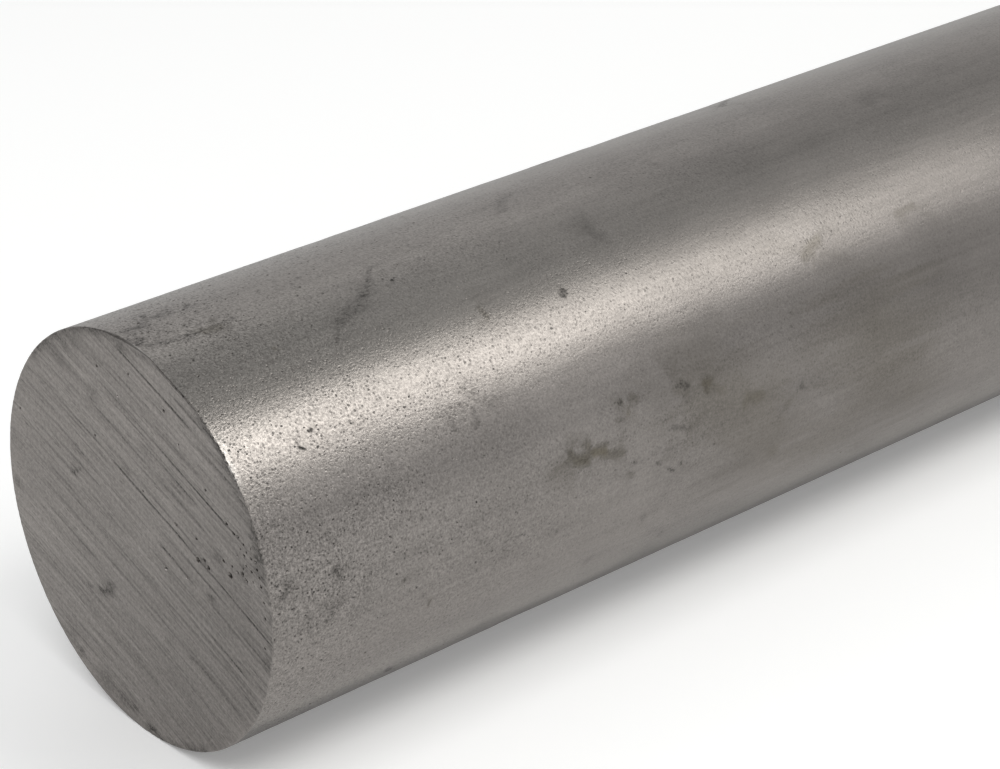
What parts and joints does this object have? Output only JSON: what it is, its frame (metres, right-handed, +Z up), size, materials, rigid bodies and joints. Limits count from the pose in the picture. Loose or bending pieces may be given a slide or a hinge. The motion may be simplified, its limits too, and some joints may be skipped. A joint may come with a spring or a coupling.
{
  "type": "round metal bar",
  "caption": "Length of solid round steel bar stock, saw-cut square at both ends, for machining, clamping or welding.",
  "frame": {"origin": "on the floor, below the middle of the bar's length", "axes": "+X along the bar, away from the end with the blade's entry flat; +Z up from the floor it lies on"},
  "size_m": [0.6096, 0.0508, 0.0508],
  "materials": {
    "steel": "bare mild steel with a fine-pitted drawn surface, saw marks across the ends and a few brown stains"
  },
  "bodies": {
    "root": {"round_bar": "steel"}
  },
  "joints": []
}
